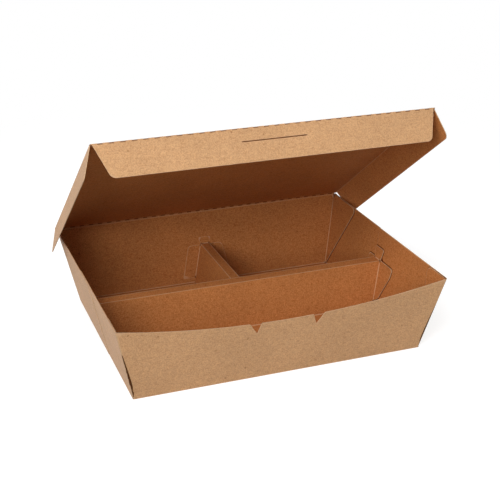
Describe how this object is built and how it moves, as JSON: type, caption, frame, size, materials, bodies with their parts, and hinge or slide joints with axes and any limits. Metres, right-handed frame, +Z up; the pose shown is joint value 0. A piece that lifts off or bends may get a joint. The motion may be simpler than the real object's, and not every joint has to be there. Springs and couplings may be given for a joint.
{
  "type": "takeaway box",
  "caption": "Kraft board takeaway box: flared tray with one long front and two back compartments, and a hinged lid with a front flap and two side flaps.",
  "frame": {"origin": "on the table plane, in the middle of the tray's length and depth", "axes": "+X to the right along the long side, +Y to the back where the lid is hinged, +Z up; the front with its locking tab faces -Y"},
  "size_m": [0.2454, 0.1839, 0.1653],
  "materials": {
    "kraft_board": "matt uncoated brown kraft board with fine fibres"
  },
  "bodies": {
    "tray": {"tray": "kraft_board", "cross_divider": "kraft_board"},
    "lid": {"lid": "kraft_board"},
    "lid_front_flap": {"lid_front_flap": "kraft_board"},
    "lid_left_flap": {"lid_left_flap": "kraft_board"},
    "lid_right_flap": {"lid_right_flap": "kraft_board"}
  },
  "joints": [
    {"name": "lid_hinge", "type": "hinge", "parent": "tray", "child": "lid", "pos_m": [0, 0.0916, 0.0562], "axis": [-1, 0, 0], "range_deg": [-36, 144]},
    {"name": "front_flap_fold", "type": "hinge", "parent": "lid", "child": "lid_front_flap", "pos_m": [0, -0.05807, 0.16494], "axis": [-1, 0, 0], "range_deg": [-14, 86]},
    {"name": "left_flap_fold", "type": "hinge", "parent": "lid", "child": "lid_left_flap", "pos_m": [-0.116, 0.0916, 0.0562], "axis": [0, 0.809, -0.5878], "range_deg": [-18, 72]},
    {"name": "right_flap_fold", "type": "hinge", "parent": "lid", "child": "lid_right_flap", "pos_m": [0.116, 0.0916, 0.0562], "axis": [0, -0.809, 0.5878], "range_deg": [-18, 72]}
  ]
}
